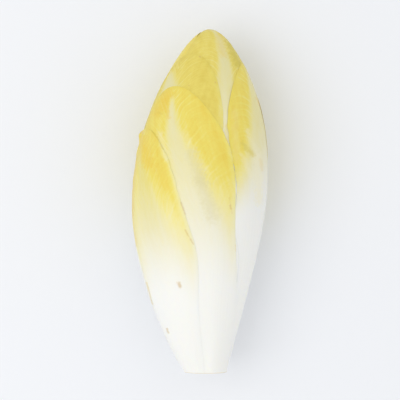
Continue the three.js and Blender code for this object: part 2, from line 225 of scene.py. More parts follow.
@dataclass(frozen=True)
class Pigment:
    """Where a leaf turns from white to yellow, as shares of its length from the foot.

    The yellow starts at start and is full after span, and lead is how much sooner it starts at
    the margins. The pale rib narrows by rib_white mm of half-width over the whole leaf, bends
    aside by rib_aside mm at the tip, and is rib_yellow times as yellow as the blade beside it.
    deep is added next to the margins, and thin is how much of the yellow is lost where the right
    margin thins out over the leaf below.
    """

    start: float = 0.4
    span: float = 0.4
    lead: float = 0.05
    rib_white: float = 16.0
    rib_aside: float = 0.0
    rib_yellow: float = 0.5
    deep: float = 0.12
    thin: float = 0.1

    RIB_BEND = 0.78
    RIB_SOFT = 2.0
    RIB_SPREAD = 0.72
    RIB_FADE = 0.08
    MARGIN_REACH = 13.0
    THIN_REACH = 3.2
    THIN_FADE = 0.12

    def rib(self, aside: Array, up: Array) -> Array:
        """Masks the pale rib.

        Args:
            aside: Distances from the leaf's middle in mm.
            up: Shares of the way up the leaf.

        Returns:
            1 on the rib and 0 on the blade.
        """
        half = self.rib_white * (1.0 - up)
        centre = self.rib_aside * smooth((up - self.RIB_BEND) / (1.0 - self.RIB_BEND))
        soft = self.RIB_SOFT + self.RIB_SPREAD * half
        fading = smooth((1.0 - up) / self.RIB_FADE)
        return fading * (1.0 - smooth((np.abs(aside - centre) - half) / soft + 0.5))

    def yellow(self, aside: Array, up: Array, margin: Array, rib: Array) -> Array:
        """Works out how yellow the leaf is.

        Args:
            aside: Distances from the leaf's middle in mm.
            up: Shares of the way up the leaf.
            margin: Distances to its margin in mm.
            rib: The rib's mask.

        Returns:
            0 for white, 1 for yellow and more for deep yellow.
        """
        near = smooth(1.0 - margin / self.MARGIN_REACH)
        amount = smooth((up - self.start + self.lead * near) / self.span)
        amount = amount * (1.0 + self.deep * near)
        beside = smooth(aside / self.THIN_REACH) * smooth((1.0 - up) / self.THIN_FADE)
        clear = self.thin * smooth(1.0 - margin / self.THIN_REACH) * beside
        return amount * between(1.0, self.rib_yellow, rib) * (1.0 - clear)


@dataclass(frozen=True)
class Crumple:
    """A spot where a blade is bent outwards, in mm aside from its middle and up from its foot."""

    aside: float
    rise: float
    radius: float
    height: float

    def lift(self, aside: Array, rise: Array) -> Array:
        """Returns how far it bends the blade outwards, aside from its middle and up from its foot."""
        away = np.hypot(aside - self.aside, rise - self.rise) / self.radius
        return self.height * np.exp(-(away ** 2))


@dataclass(frozen=True)
class LeafShape:
    """One leaf. Its azimuth is 0 upwards and 90 towards +X, and its twist is how far the tip has turned.

    tip and shoulder are angles down from the head's tip, where the leaf ends and where it starts
    to round off. slant is how much longer the right side is, as a share of the length for each
    radian aside. A leaf with no foot angle runs down to the cut. step is the size of its faces.
    """

    node: str
    slot: Slot
    azimuth: float
    twist: float
    tip: float
    shoulder: float
    roundness: float
    rib: float
    left: Side
    right: Side
    foot: float | None = None
    slant: float = 0.0
    twist_start: float = -0.3
    twist_span: float = 1.2
    pigment: Pigment = Pigment()
    step: float = 0.5
    crumples: tuple[Crumple, ...] = ()

    CUT_FOOT = 143.0

    @property
    def foot_angle(self) -> float:
        """Angle down to the foot, in radians."""
        return math.radians(self.CUT_FOOT if self.foot is None else self.foot)

    def turn(self, latitude: Array) -> Array:
        """Returns where the leaf's middle stands round the head at a latitude, in radians."""
        twisted = self.twist * smooth((latitude - self.twist_start) / self.twist_span)
        return np.radians(self.azimuth + twisted)

    def direction(self, down: Array, b: Array) -> Array:
        """Turns the leaf's own angles into directions.

        Args:
            down: Angles down from the head's tip, in radians, as they are along the leaf's middle.
            b: Angles aside from the leaf's middle. Below the head's equator they are arcs of rings.

        Returns:
            Unit directions, one a row.
        """
        a = self.foot_angle - (self.foot_angle - down) / (1.0 - self.slant * b)
        low = a > math.pi / 2.0
        across, out = np.sin(b), np.sin(a) * np.cos(b)
        latitude = np.where(low, np.cos(a), np.cos(a) * np.cos(b))
        radius = np.maximum(np.sin(a), 1e-6)
        turn = self.turn(latitude)
        ring_turn = turn + b / radius
        x = np.where(low, radius * np.sin(ring_turn), across * np.cos(turn) + out * np.sin(turn))
        z = np.where(low, radius * np.cos(ring_turn), out * np.cos(turn) - across * np.sin(turn))
        return np.column_stack((x, latitude, z))

    def angles(self, n: Array) -> tuple[Array, Array]:
        """Turns directions into the leaf's own angles, the reverse of direction().

        Args:
            n: Unit directions, one a row.

        Returns:
            Angles down the leaf and aside, in radians.
        """
        turn = self.turn(n[:, 1])
        across = n[:, 0] * np.cos(turn) - n[:, 2] * np.sin(turn)
        out = n[:, 0] * np.sin(turn) + n[:, 2] * np.cos(turn)
        aside = np.mod(np.arctan2(n[:, 0], n[:, 2]) - turn + math.pi, TURN) - math.pi
        low = n[:, 1] < 0.0
        a = np.where(low, np.arccos(np.clip(n[:, 1], -1.0, 1.0)), np.arctan2(out, n[:, 1]))
        b = np.where(low, aside * np.hypot(n[:, 0], n[:, 2]), np.arcsin(np.clip(across, -1.0, 1.0)))
        return self.foot_angle - (self.foot_angle - a) * (1.0 - self.slant * b), b

    def width(self, b: Array, up: Array) -> Array:
        """Returns half-widths in radians at shares up the strip, on the side that b is on."""
        return np.where(b < 0.0, self.left.width(up), self.right.width(up))

    def full_width(self, b: Array) -> Array:
        """Returns the half-width in radians at the shoulder, on the side that b is on."""
        return np.where(b < 0.0, math.radians(self.left.half), math.radians(self.right.half))

    def strip_share(self, a: Array) -> Array:
        """Share of the way up from the foot to the shoulder at angles down the leaf."""
        return (self.foot_angle - a) / (self.foot_angle - math.radians(self.shoulder))

    def up(self, a: Array) -> Array:
        """Share of the way up from the foot to the tip, from 0 to 1, at angles down the leaf."""
        return np.clip((self.foot_angle - a) / (self.foot_angle - math.radians(self.tip)), 0.0, 1.0)


@dataclass(frozen=True)
class Veins:
    """Side veins of a leaf. They leave the rib steeply and arch outwards."""

    spacing: float = 4.7
    crowding: float = 0.12
    climb: float = 62.0
    reach: float = 27.0
    wander: float = 0.22
    line: float = 0.5
    clear: float = 2.0
    fade: float = 13.0

    WANDER_SPACINGS = 3.0
    SIDE_SHIFT = 0.25
    SIDE_REACH = 1.5
    START = 0.42
    START_SPAN = 0.3
    RIB_POWER = 0.8

    def flow(self, aside: Array, rise: Array, length: float, seed: int) -> tuple[Array, Array]:
        """Numbers the veins.

        Args:
            aside: Distances from the leaf's middle in mm, less than 0 on its left.
            rise: Distances up the leaf from its foot in mm.
            length: Length of the leaf in mm.
            seed: Picks how the veins wander.

        Returns:
            The number of the vein at each point, whole and a half on a vein, and the distance
            between two veins there.
        """
        x = np.abs(aside)
        root = rise - self.climb * (1.0 - np.exp(-x / self.reach))
        number = root / self.spacing * (1.0 + self.crowding * root / length)
        number = number + self.wander * ripple(aside, rise, self.WANDER_SPACINGS * self.spacing, seed)
        number = number + self.SIDE_SHIFT * np.tanh(aside / self.SIDE_REACH)
        slope = self.climb / self.reach * np.exp(-x / self.reach)
        pitch = self.spacing / (1.0 + 2.0 * self.crowding * root / length) / np.sqrt(1.0 + slope ** 2)
        return number, pitch

    def strength(self, aside: Array, margin: Array, up: Array, rib: Array) -> Array:
        """Says how well the veins show.

        Args:
            aside: Distances from the leaf's middle in mm.
            margin: Distances to its margin in mm.
            up: Shares of the way up the leaf.
            rib: The rib's mask.

        Returns:
            1 where they show best and 0 where there are none.
        """
        risen = smooth((up - self.START) / self.START_SPAN)
        kept = np.exp(-((aside / self.fade) ** 2)) * smooth(margin / self.clear)
        return risen * kept * (1.0 - rib) ** self.RIB_POWER

    def relief(self, number: Array, pitch: Array) -> Array:
        """Returns 1 on a vein, falling to 0 between two, from what flow() gives."""
        away = np.abs(np.mod(number, 1.0) - 0.5) * pitch
        return np.exp(-((away / self.line) ** 2))


@dataclass(frozen=True)
class BladeSizes:
    """Thicknesses and reliefs that all blades share."""

    edge: float = 0.07
    lamina: float = 1.5
    tip_rib: float = 0.25
    edge_taper: float = 6.0
    foot_taper: float = 2.0
    rib_foot: float = 11.0
    rib_tip: float = 3.0
    ridge_share: float = 0.3
    gap: float = 0.02
    cover_reach: float = 1.2
    cover_fade: float = 12.0
    cover_fade_foot: float = 5.0
    cover_fade_rise: float = 0.25
    lift: float = 0.02
    lift_reach: float = 4.0
    wave_length: float = 13.0
    wave_height: float = 0.09
    foot_rib_share: float = 0.3
    foot_rise: float = 0.12
    foot_scale: float = 100.0
    cut_overrun: float = 12.0
    vein_height: float = 0.09
    pucker_height: float = 0.11
    pucker_length: float = 6.0
    pucker_start: float = 0.5
    pucker_span: float = 0.3
    pucker_clear: float = 3.0
    ragged: float = 0.7
    ragged_length: float = 7.0


@dataclass(frozen=True)
class Nest:
    """All the leaves in order from the outermost, and the depths at which they lie."""

    form: HeadForm
    sizes: BladeSizes
    leaves: list[LeafShape]

    def margins(self, leaf: LeafShape, a: Array, b: Array) -> tuple[Array, Array]:
        """Measures distances to a blade's outline, positive inside it.

        Args:
            leaf: The leaf.
            a: Angles down the leaf.
            b: Angles aside.

        Returns:
            The distances to its margin, and to its margin or foot, whichever is nearer.
        """
        shoulder, width = math.radians(leaf.shoulder), self.form.half_width
        half = leaf.full_width(b)
        end_up = np.maximum((shoulder - a) / (shoulder - math.radians(leaf.tip)), 0.0)
        power = leaf.roundness
        reach = (np.abs(b / half) ** power + end_up ** power) ** (1.0 / power)
        strip = (leaf.width(b, leaf.strip_share(a)) - np.abs(b)) * width
        margin = np.where(a < shoulder, (1.0 - reach) * half * width, strip)
        overrun = self.sizes.cut_overrun if leaf.foot is None else 0.0
        foot = (leaf.foot_angle + math.radians(overrun) - a) * self.sizes.foot_scale
        return margin, np.where(a < shoulder, margin, np.minimum(margin, foot))

    def rib(self, leaf: LeafShape, a: Array, b: Array) -> Array:
        """Measures the rib.

        Args:
            leaf: The leaf.
            a: Angles down the leaf.
            b: Angles aside.

        Returns:
            How much thicker than the blade it is.
        """
        sizes, up = self.sizes, leaf.up(a)
        half = between(sizes.rib_foot, sizes.rib_tip, up)
        sheath = between(sizes.foot_rib_share, 1.0, smooth(up / sizes.foot_rise))
        height = between(leaf.rib, sizes.tip_rib, up) * sheath
        return height * np.exp(-((b * self.form.half_width / half) ** 2))

    def thickness(self, leaf: LeafShape, a: Array, b: Array, margin: Array) -> Array:
        """Measures a blade, thin at its margin and thick along its rib.

        Args:
            leaf: The leaf.
            a: Angles down the leaf.
            b: Angles aside.
            margin: Distances to its margin.

        Returns:
            Its thickness.
        """
        sizes = self.sizes
        taper = between(sizes.foot_taper, sizes.edge_taper, smooth(leaf.up(a) / sizes.foot_rise))
        inside = smooth(margin / taper)
        return between(sizes.edge, sizes.lamina, inside) + self.rib(leaf, a, b) * inside

    def over(self, count: int, n: Array) -> tuple[Array, Array]:
        """Adds up what the outermost leaves put over each direction.

        Args:
            count: How many leaves to count, from the outermost.
            n: Unit directions, one a row.

        Returns:
            The depth that they take, and the share of each place that they leave bare.
        """
        sizes = self.sizes
        depth, bare = np.zeros(len(n)), np.ones(len(n))
        risen = smooth((n[:, 1] - self.form.foot_latitude) / sizes.cover_fade_rise)
        fade = between(sizes.cover_fade_foot, sizes.cover_fade, risen)
        for leaf in self.leaves[:count]:
            a, b = leaf.angles(n)
            margin, outline = self.margins(leaf, a, b)
            cover = smooth(1.0 + (outline + sizes.cover_reach) / fade)
            depth += (self.thickness(leaf, a, b, margin) + sizes.gap) * cover
            bare *= 1.0 - cover
        return depth, bare

    def core_point(self, latitude: Array, turn: Array, extra: Array) -> Array:
        """Finds points just inside all the leaves.

        Args:
            latitude: Latitudes of the points.
            turn: Where they stand round the head, in radians.
            extra: How much deeper they lie than the leaves need.

        Returns:
            Points, one a row.
        """
        radius = np.sqrt(1.0 - latitude ** 2)
        n = np.column_stack((radius * np.sin(turn), latitude, radius * np.cos(turn)))
        return self.form.point(n, self.over(len(self.leaves), n)[0] + extra)


def store(mesh: Mesh, name: str, *parts: Array) -> None:
    """Stores one number, or three as a vector, for each vertex, for materials to read.

    Args:
        mesh: Where to store them.
        name: Name of the attribute.
        *parts: One array, or three.
    """
    kind, field = ("FLOAT", "value") if len(parts) == 1 else ("FLOAT_VECTOR", "vector")
    values = np.column_stack(parts).astype(np.float32).ravel()
    mesh.attributes.new(name, kind, "POINT").data.foreach_set(field, values)


def in_scene(name: str, data: bpy.types.ID) -> Piece:
    """Makes an object and puts it into the scene.

    Args:
        name: Name of the object.
        data: What it holds.

    Returns:
        The object.
    """
    made = bpy.data.objects.new(name, data)
    bpy.context.scene.collection.objects.link(made)
    return made


def finished_piece(name: str, bm: BMesh, points: Array) -> Piece:
    """Makes an object of a bmesh whose vertices go to the given points.

    Args:
        name: Name of the object.
        bm: The mesh, which this frees.
        points: Place of each vertex in mm, in the order of the vertices.

    Returns:
        The object, in the scene.
    """
    mesh = bpy.data.meshes.new(name)
    bm.to_mesh(mesh)
    bm.free()
    mesh.vertices.foreach_set("co", (points * MM).astype(np.float32).ravel())
    mesh.update()
    return in_scene(name, mesh)


def flat_places(bm: BMesh) -> Array:
    """Returns the place of each vertex of a bmesh, one a row."""
    return np.array([vert.co for vert in bm.verts])


def mount(piece: Piece, node: str, material: Material) -> None:
    """Lets a piece stand for a CAD node.

    Args:
        piece: The piece.
        node: The node that it replaces.
        material: Its material.
    """
    piece.data.materials.append(material)
    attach(piece, BODY)
    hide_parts(node)
    LOG.info("%s stands for %s: %d faces", piece.name, node, len(piece.data.polygons))


class LeafBlade:
    """One leaf as a fine closed blade with its rib, side veins and waved margins."""

    OUTER_SKIN = 1.0
    NUMBERS_A_LEAF = 100.0
    SIDE_CROWDING = 0.2
    PUCKER_SHARE = 0.6
    PUCKER_STRETCH = (0.5, 1.6, 0.6)
    PUCKER_SEEDS = (40, 60)
    WAVE_SEED = 80
    RAGGED_SEED = 7
    RAGGED_SIDES = 30.0
    RAGGED_POWER = 6

    def __init__(self, nest: Nest, index: int) -> None:
        """Takes a leaf.

        Args:
            nest: All the leaves.
            index: Place of the leaf among them.
        """
        self.nest = nest
        self.index = index
        self.leaf = nest.leaves[index]
        self.veins = Veins()
        leaf, mm = self.leaf, nest.form.half_axis
        strip = (leaf.foot_angle - math.radians(leaf.shoulder)) * mm
        end = math.radians(leaf.shoulder - leaf.tip) * mm
        across = math.radians(leaf.left.half + leaf.right.half) * nest.form.half_width
        self.columns = 2 * round(across / leaf.step / 2.0)
        self.strip_rows = round(strip / leaf.step)
        self.end_rows = round(end / leaf.step)
        self.length = strip + end

    def _sheet(self) -> BMesh:
        """Extrudes a flat grid into a closed slab with crisp rims.

        Returns:
            The slab, with the inner skin at height 0 and the outer skin at 1.
        """
        bm = bmesh.new()
        rows = self.strip_rows + self.end_rows
        bmesh.ops.create_grid(bm, x_segments=self.columns, y_segments=rows, size=1.0)
        made = bmesh.ops.extrude_face_region(bm, geom=bm.faces[:])
        skin = [part for part in made["geom"] if isinstance(part, bmesh.types.BMVert)]
        bmesh.ops.translate(bm, verts=skin, vec=(0.0, 0.0, self.OUTER_SKIN))
        bmesh.ops.recalc_face_normals(bm, faces=bm.faces[:])
        for face in bm.faces:
            face.smooth = True
        for edge in bm.edges:
            start, stop = (vert.co for vert in edge.verts)
            along_foot = start.y <= -1.0 and stop.y <= -1.0
            along_side = abs(start.x + stop.x) >= 2.0
            edge.smooth = not (along_foot or along_side or start.y + stop.y >= 2.0)
        return bm

    def _place(self, a: Array, b: Array) -> tuple[Array, Array, Array]:
        """Measures places on the leaf.

        Args:
            a: Angles down the leaf.
            b: Angles aside.

        Returns:
            Distances from its middle, from its foot and from its margin, in mm.
        """
        form = self.nest.form
        margin, _ = self.nest.margins(self.leaf, a, b)
        return b * form.half_width, (self.leaf.foot_angle - a) * form.half_axis, margin

    def _relief(self, a: Array, b: Array) -> Array:
        """Measures the veins and puckers.

        Args:
            a: Angles down the leaf.
            b: Angles aside.

        Returns:
            How far they stand out.
        """
        sizes, veins = self.nest.sizes, self.veins
        aside, rise, margin = self._place(a, b)
        up = self.leaf.up(a)
        rib = self.leaf.pigment.rib(aside, up)
        number, pitch = veins.flow(aside, rise, self.length, self.index)
        lines = sizes.vein_height * veins.relief(number, pitch) * veins.strength(aside, margin, up, rib)
        first, second = (self.index + seed for seed in self.PUCKER_SEEDS)
        across, along, up_leaf = self.PUCKER_STRETCH
        pucker = self.PUCKER_SHARE * ripple(across * aside, along * number, sizes.pucker_length, first)
        pucker = pucker + self.PUCKER_SHARE * ripple(aside, up_leaf * rise, sizes.pucker_length, second)
        risen = smooth((up - sizes.pucker_start) / sizes.pucker_span)
        soft = risen * smooth(margin / sizes.pucker_clear) * (1.0 - rib)
        return lines + sizes.pucker_height * pucker * soft

    def _depths(self, a: Array, b: Array, outer: Array) -> tuple[Array, Array]:
        """Places points of the blade.

        Args:
            a: Angles down the leaf.
            b: Angles aside.
            outer: True for points of the outer skin.

        Returns:
            Directions and depths.
        """
        nest, leaf, sizes = self.nest, self.leaf, self.nest.sizes
        n = leaf.direction(a, b)
        depth, bare = nest.over(self.index, n)
        aside, rise, margin = self._place(a, b)
        up = leaf.up(a)
        wave = 1.0 + ripple(rise, np.abs(aside), sizes.wave_length, self.index + self.WAVE_SEED)
        flare = sizes.lift * up ** 2 + sizes.wave_height * up * np.maximum(wave, 0.0) * 0.5
        lifted = flare * (1.0 - smooth(margin / sizes.lift_reach)) * bare
        lifted = lifted + sum(crumple.lift(aside, rise) for crumple in leaf.crumples)
        ridge = sizes.ridge_share * nest.rib(leaf, a, b) * smooth(margin / sizes.edge_taper)
        raised = (ridge + self._relief(a, b)) * bare
        skin = np.where(outer, -raised, nest.thickness(leaf, a, b, margin))
        return n, depth - lifted + skin

    def _foot(self, s: Array, outer: bool) -> Array:
        """Finds where a skin ends: in the plane of the cut, or on the stem.

        Args:
            s: Places across, from -1 to 1.
            outer: True for the outer skin.

        Returns:
            Angles down the leaf.
        """
        leaf = self.leaf
        if leaf.foot is not None:
            return np.full(len(s), leaf.foot_angle)
        b = s * leaf.width(s, np.zeros(len(s)))
        overrun = math.radians(self.nest.sizes.cut_overrun)
        skin = np.full(len(s), outer)

        def above_cut(a: Array) -> Array:
            """Tells which points of the skin at these angles down the leaf are above the cut."""
            n, depth = self._depths(a, b, skin)
            return self.nest.form.point(n, depth)[:, 1] > self.nest.form.cut_plane

        start = np.full(len(s), leaf.foot_angle)
        return turning_point(start - overrun, start + overrun, above_cut)

    def _grid_angles(self, s: Array, row: Array, foot: Array) -> tuple[Array, Array]:
        """Places grid points on the leaf.

        Args:
            s: Places across, from -1 to 1.
            row: Rows up from the foot.
            foot: Angle of the foot in each point's column.

        Returns:
            Angles down the leaf and aside. Over the rounded end a square is laid onto a half disc.
        """
        leaf = self.leaf
        shoulder, tip = math.radians(leaf.shoulder), math.radians(leaf.tip)
        strip_a = between(foot, shoulder, np.minimum(row / self.strip_rows, 1.0))
        strip_b = s * leaf.width(s, leaf.strip_share(strip_a))
        q = np.clip((row - self.strip_rows) / self.end_rows, 0.0, 1.0)
        x, y = s * np.sqrt(1.0 - q * q / 2.0), q * np.sqrt(1.0 - s * s / 2.0)
        power = leaf.roundness
        size = (np.abs(x) ** power + y ** power) ** (1.0 / power)
        fit = np.hypot(x, y) / np.maximum(size, 1e-9)
        end = row > self.strip_rows
        a = np.where(end, shoulder - (shoulder - tip) * y * fit, strip_a)
        return a, np.where(end, x * fit * leaf.full_width(s), strip_b)

    def _ragged(self, s: Array, a: Array, b: Array) -> Array:
        """Draws the margins in unevenly, more towards the tip.

        Args:
            s: Places across, from -1 to 1.
            a: Angles down the leaf.
            b: Angles aside.

        Returns:
            The new angles aside.
        """
        leaf, form, sizes = self.leaf, self.nest.form, self.nest.sizes
        rise = (leaf.foot_angle - a) * form.half_axis
        seed = self.index + self.RAGGED_SEED
        pattern = 0.5 + 0.5 * ripple(rise, self.RAGGED_SIDES * np.sign(b), sizes.ragged_length, seed)
        inset = sizes.ragged * np.clip(pattern, 0.0, 1.0) * leaf.up(a) ** 2
        return b - np.sign(b) * inset / form.half_width * np.abs(s) ** self.RAGGED_POWER

    def build(self) -> Piece:
        """Builds the blade.

        Returns:
            The object, with the attributes that the leaf material reads.
        """
        bm = self._sheet()
        flat = flat_places(bm)
        column = np.rint((flat[:, 0] + 1.0) / 2.0 * self.columns).astype(int)
        row = np.rint((flat[:, 1] + 1.0) / 2.0 * (self.strip_rows + self.end_rows))
        outer = flat[:, 2] > self.OUTER_SKIN / 2.0
        places = np.linspace(-1.0, 1.0, self.columns + 1)
        places = places * (1.0 + self.SIDE_CROWDING - self.SIDE_CROWDING * places ** 2)
        s = places[column]
        foot = np.where(outer, self._foot(places, True)[column], self._foot(places, False)[column])
        a, b = self._grid_angles(s, row, foot)
        b = self._ragged(s, a, b)
        n, depth = self._depths(a, b, outer)
        piece = finished_piece(self.leaf.node + "_blade", bm, self.nest.form.point(n, depth))
        self._store_skin(piece.data, a, b)
        return piece

    def _store_skin(self, mesh: Mesh, a: Array, b: Array) -> None:
        """Stores what the leaf material reads.

        Args:
            mesh: Where to store it.
            a: Angles down the leaf of each vertex.
            b: Angles aside.
        """
        aside, rise, margin = self._place(a, b)
        up, pigment = self.leaf.up(a), self.leaf.pigment
        rib = pigment.rib(aside, up)
        number, pitch = self.veins.flow(aside, rise, self.length, self.index)
        strength = self.veins.strength(aside, margin, up, rib)
        store(mesh, "place", aside, rise, np.maximum(margin, 0.0))
        store(mesh, "veins", number + self.NUMBERS_A_LEAF * self.index, pitch, strength)
        store(mesh, "up", up)
        store(mesh, "rib", rib)
        store(mesh, "yellow", pigment.yellow(aside, up, margin, rib))


@dataclass
class Heart:
    """The tight bunch of small folded leaves at the middle of the head."""

    node: str = "heart"
    low: float = -0.454
    high: float = 0.992
    rings: int = 90
    sides: int = 100
    extra: float = 0.12
    folds: int = 5
    fold: float = 0.9
    fold_turn: float = 0.35
    fold_fade: float = 0.3
    margin: float = 20.0
    up: float = 0.8
    yellow: float = 0.9

    def build(self, nest: Nest) -> Piece:
        """Builds the bunch as one closed form whose folds are shallow steps round it.

        Args:
            nest: The leaves round it.

        Returns:
            The object, with the attributes that the leaf material reads.
        """
        bm = bmesh.new()
        bmesh.ops.create_uvsphere(bm, u_segments=self.sides, v_segments=self.rings, radius=1.0)
        for face in bm.faces:
            face.smooth = True
        flat = flat_places(bm)
        turn = np.arctan2(flat[:, 0], -flat[:, 1])
        latitude = between(self.low, self.high, 0.5 + 0.5 * flat[:, 2])
        step = np.mod((turn / TURN + self.fold_turn * latitude) * self.folds, 1.0)
        extra = self.extra + self.fold * step * smooth((1.0 - np.abs(flat[:, 2])) / self.fold_fade)
        points = nest.core_point(latitude, turn, extra)
        bm.verts.ensure_lookup_table()
        for pole in (int(np.argmin(flat[:, 2])), int(np.argmax(flat[:, 2]))):
            vert = bm.verts[pole]
            ring = [edge.other_vert(vert).index for edge in vert.link_edges]
            points[pole] = points[ring].mean(axis=0)
        piece = finished_piece("heart_bunch", bm, points)
        self._store_skin(piece.data, points)
        return piece

    def _store_skin(self, mesh: Mesh, points: Array) -> None:
        """Stores an even yellow skin with no rib and no veins.

        Args:
            mesh: Where to store it.
            points: Place of each vertex in mm.
        """
        ones = np.ones(len(points))
        store(mesh, "place", points[:, 0], points[:, 1], self.margin * ones)
        store(mesh, "veins", ones, ones, 0.0 * ones)
        for name, value in (("up", self.up), ("rib", 0.0), ("yellow", self.yellow)):
            store(mesh, name, value * ones)


@dataclass
class Stem:
    """The solid stem, bare only at the cut."""

    node: str = "stem"
    top: float = -0.46
    lowest: float = -0.95
    sides: int = 96
    rings: int = 24
    extra: float = 0.1
    cap_insets: int = 5

    RIM = 0.99

    def build(self, nest: Nest) -> Piece:
        """Builds the stem from a disc that is extruded ring by ring, with rings inset in its cut face.

        Args:
            nest: The leaves round it.

        Returns:
            The object.
        """
        bm = bmesh.new()
        bmesh.ops.create_circle(bm, cap_ends=True, segments=self.sides, radius=1.0)
        foot = bm.faces[:]
        cap = foot
        for _ in range(self.rings):
            made = bmesh.ops.extrude_face_region(bm, geom=cap, use_keep_orig=cap is foot)
            cap = [part for part in made["geom"] if isinstance(part, bmesh.types.BMFace)]
            verts = [part for part in made["geom"] if isinstance(part, bmesh.types.BMVert)]
            bmesh.ops.translate(bm, verts=verts, vec=(0.0, 0.0, 1.0))
        for _ in range(self.cap_insets):
            thickness = 1.0 / (self.cap_insets + 1)
            bmesh.ops.inset_region(bm, faces=foot, thickness=thickness, use_even_offset=False)
        bmesh.ops.recalc_face_normals(bm, faces=bm.faces[:])
        for face in bm.faces:
            face.smooth = len(face.verts) == 4 and abs(face.normal.z) < 0.5
        return finished_piece("stem_core", bm, self._points(nest, flat_places(bm)))

    def _points(self, nest: Nest, flat: Array) -> Array:
        """Places the vertices.

        Args:
            nest: The leaves round the stem.
            flat: Their places on a straight drum whose rings are one unit apart.

        Returns:
            Their places in mm.
        """
        turn = np.arctan2(flat[:, 0], flat[:, 1])
        radius = np.hypot(flat[:, 0], flat[:, 1])
        extra = np.full(len(flat), self.extra)

        def above_cut(trial: Array) -> Array:
            """Tells where the stem's side is above the cut at these latitudes."""
            return nest.core_point(trial, turn, extra)[:, 1] > nest.form.cut_plane

        cut = turning_point(np.zeros(len(flat)), np.full(len(flat), self.lowest), above_cut)
        latitude = between(cut, self.top, flat[:, 2] / self.rings)
        points = nest.core_point(latitude, turn, extra)
        face = flat[:, 2] < 0.5
        centre = points[face & (radius > self.RIM)].mean(axis=0)
        points[face] = between(centre, points[face], radius[face][:, None])
        return points


@dataclass
class Bench:
    """Adds nodes to one tree and wires them."""

    tree: bpy.types.NodeTree

    def node(self, kind: str, inputs: dict, **settings: object) -> bpy.types.Node:
        """Adds a node.

        Args:
            kind: Its type.
            inputs: A value or a socket for each input, by name or number.
            **settings: Its other properties.

        Returns:
            The node.
        """
        made = self.tree.nodes.new(kind)
        for name, value in settings.items():
            setattr(made, name, value)
        for key, value in inputs.items():
            if isinstance(value, Socket):
                self.tree.links.new(value, made.inputs[key])
            else:
                made.inputs[key].default_value = value
        return made

    def group(self, tree: Tree, inputs: dict) -> bpy.types.Node:
        """Places a node group, with a value or a socket for each of its inputs by name."""
        return self.node("ShaderNodeGroup", inputs, node_tree=tree)

    def math(self, operation: str, *values: float | Socket) -> Socket:
        """Adds a Math node and returns its output."""
        return self.node("ShaderNodeMath", dict(enumerate(values)), operation=operation).outputs[0]

    def times(self, first: float | Socket, second: float | Socket) -> Socket:
        """Returns one value multiplied by another."""
        return self.math("MULTIPLY", first, second)

    def stretched(self, vector: Socket, factors: tuple[float, float, float]) -> Socket:
        """Returns a vector with each of its numbers multiplied by a factor of its own."""
        return self.vector("MULTIPLY", vector, factors)

    def resized(self, vector: Socket, factor: Socket) -> Socket:
        """Returns a vector multiplied by one factor."""
        return self.node("ShaderNodeVectorMath", {0: vector, 3: factor}, operation="SCALE").outputs[0]

    def scaled(self, value: float | Socket, factor: float | Socket, offset: float | Socket = 0.0) -> Socket:
        """Returns the value multiplied by a factor, with an offset added."""
        return self.math("MULTIPLY_ADD", value, factor, offset)

    def rise(self, value: Socket, low: float, high: float, kind: str = "SMOOTHSTEP") -> Socket:
        """Returns a mask that is 0 where the value is low and 1 where it is high. low may be the larger."""
        inputs = {"Value": value, "From Min": low, "From Max": high}
        return self.node("ShaderNodeMapRange", inputs, interpolation_type=kind).outputs[0]

    def noise(self, vector: Socket, scale: float, detail: float = 2.0) -> Socket:
        """Returns noise from 0 to 1 of a scale, with as many finer layers as detail says."""
        inputs = {"Vector": vector, "Scale": scale, "Detail": detail}
        return self.node("ShaderNodeTexNoise", inputs).outputs["Fac"]

    def mix(self, share: Socket, first: Colour | Socket, second: Colour | Socket) -> Socket:
        """Returns the first colour with a share of the second mixed in."""
        inputs = {0: share, 6: first, 7: second}
        return self.node("ShaderNodeMix", inputs, data_type="RGBA").outputs[2]

    def vector(self, operation: str, *values: object, output: str = "Vector") -> Socket:
        """Adds a Vector Math node and returns the output that is named."""
        inputs = dict(enumerate(values))
        return self.node("ShaderNodeVectorMath", inputs, operation=operation).outputs[output]

    def parts(self, vector: Socket) -> list[Socket]:
        """Returns the three numbers of a vector."""
        return list(self.node("ShaderNodeSeparateXYZ", {0: vector}).outputs)

    def joined(self, x: float | Socket, y: float | Socket, z: float | Socket) -> Socket:
        """Returns a vector of three numbers, which are x, y and z."""
        return self.node("ShaderNodeCombineXYZ", {0: x, 1: y, 2: z}).outputs[0]

    def attribute(self, name: str, output: str = "Fac") -> Socket:
        """Reads what a piece stores: Fac for a number and Vector for a vector."""
        return self.node("ShaderNodeAttribute", {}, attribute_name=name).outputs[output]


def srgb(red: int, green: int, blue: int) -> Colour:
    """Turns a colour as seen on a screen into Blender's linear one.

    Args:
        red: Red from 0 to 255.
        green: Green from 0 to 255.
        blue: Blue from 0 to 255.

    Returns:
        The linear colour.
    """
    parts = []
    for value in (red, green, blue):
        share = value / 255.0
        parts.append(share / 12.92 if share <= 0.04045 else ((share + 0.055) / 1.055) ** 2.4)
    return (*parts, 1.0)


def new_group(name: str, inputs: dict[str, str], outputs: dict[str, str]) -> Tree:
    """Starts a node group.

    Args:
        name: Its name.
        inputs: Kind of each input, by name.
        outputs: Kind of each output, by name.

    Returns:
        The group, with nothing in it yet.
    """
    group = bpy.data.node_groups.new(name, "ShaderNodeTree")
    for side, sockets in (("INPUT", inputs), ("OUTPUT", outputs)):
        for socket, kind in sockets.items():
            group.interface.new_socket(socket, in_out=side, socket_type="NodeSocket" + kind)
    return group


def opened(group: Tree) -> tuple[Bench, Sockets]:
    """Returns a bench for a node group, and what the group is given."""
    bench = Bench(group)
    return bench, bench.node("NodeGroupInput", {}).outputs


